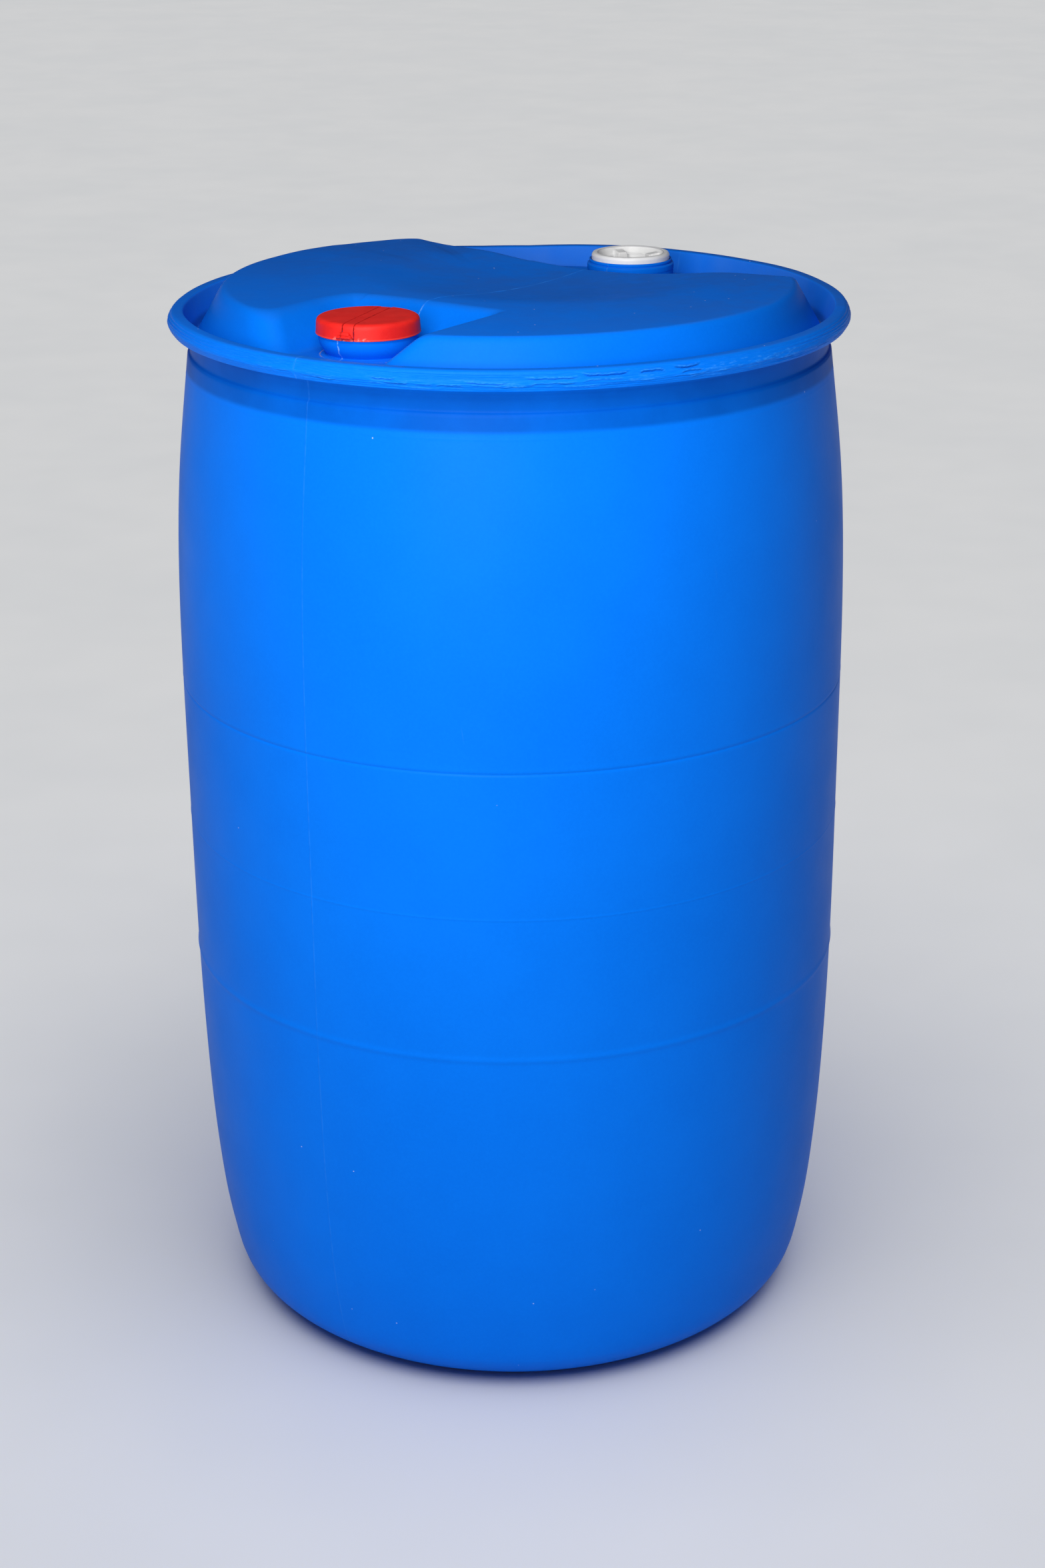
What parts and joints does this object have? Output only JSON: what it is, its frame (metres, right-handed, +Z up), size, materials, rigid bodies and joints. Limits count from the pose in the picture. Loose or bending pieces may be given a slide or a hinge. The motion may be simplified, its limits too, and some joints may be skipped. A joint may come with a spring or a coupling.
{
  "type": "tight-head plastic drum",
  "caption": "Blue blow-moulded plastic tight-head drum with a lifting ring, two recessed screw bungs and a red tamper cap over the front one.",
  "frame": {"origin": "centre of the footprint, on the floor under the standing ring", "axes": "+Z up along the drum axis; the front bung lies towards -X -Y, at 35.2 degrees from -Y; the picture looks along +Y"},
  "size_m": [0.585, 0.585, 0.932],
  "materials": {
    "drum_blue": "satin blow-moulded polyethylene with fine scuffs",
    "cap_red": "matt injection-moulded polyethylene",
    "plug_white": "satin injection-moulded polyethylene",
    "gasket_rubber": "moulded sealing rubber"
  },
  "bodies": {
    "drum": {"drum_shell": "drum_blue"},
    "front_lift": {"front_plug_gasket": "gasket_rubber"},
    "front_screw": {"front_plug": "plug_white"},
    "cap": {"overcap": "cap_red"},
    "strip": {"tear_strip": "cap_red"},
    "rear_lift": {"rear_plug_gasket": "gasket_rubber"},
    "rear_screw": {"rear_plug": "plug_white"}
  },
  "joints": [
    {"name": "front_plug_rise", "type": "slide", "parent": "drum", "child": "front_lift", "axis": [0, 0, 1], "range_m": [0, 0.01401]},
    {"name": "front_plug_turn", "type": "hinge", "parent": "front_lift", "child": "front_screw", "pos_m": [-0.11269, -0.15975, 0.926], "axis": [0, 0, 1], "range_deg": [0, 1260]},
    {"name": "overcap_lift", "type": "slide", "parent": "front_lift", "child": "cap", "axis": [0, 0, 1], "range_m": [0, 0.06]},
    {"name": "strip_peel", "type": "hinge", "parent": "cap", "child": "strip", "pos_m": [-0.10274, -0.12237, 0.9316], "axis": [-0.9364, 0.351, 0], "range_deg": [0, 120]},
    {"name": "rear_plug_rise", "type": "slide", "parent": "drum", "child": "rear_lift", "axis": [0, 0, 1], "range_m": [0, 0.01401]},
    {"name": "rear_plug_turn", "type": "hinge", "parent": "rear_lift", "child": "rear_screw", "pos_m": [0.11039, 0.15648, 0.921], "axis": [0, 0, 1], "range_deg": [0, 1260]}
  ],
  "couplings": [
    {"joint": "front_plug_rise", "follows": "front_plug_turn", "m_per_rad": 0.00063662},
    {"joint": "rear_plug_rise", "follows": "rear_plug_turn", "m_per_rad": 0.00063662}
  ]
}
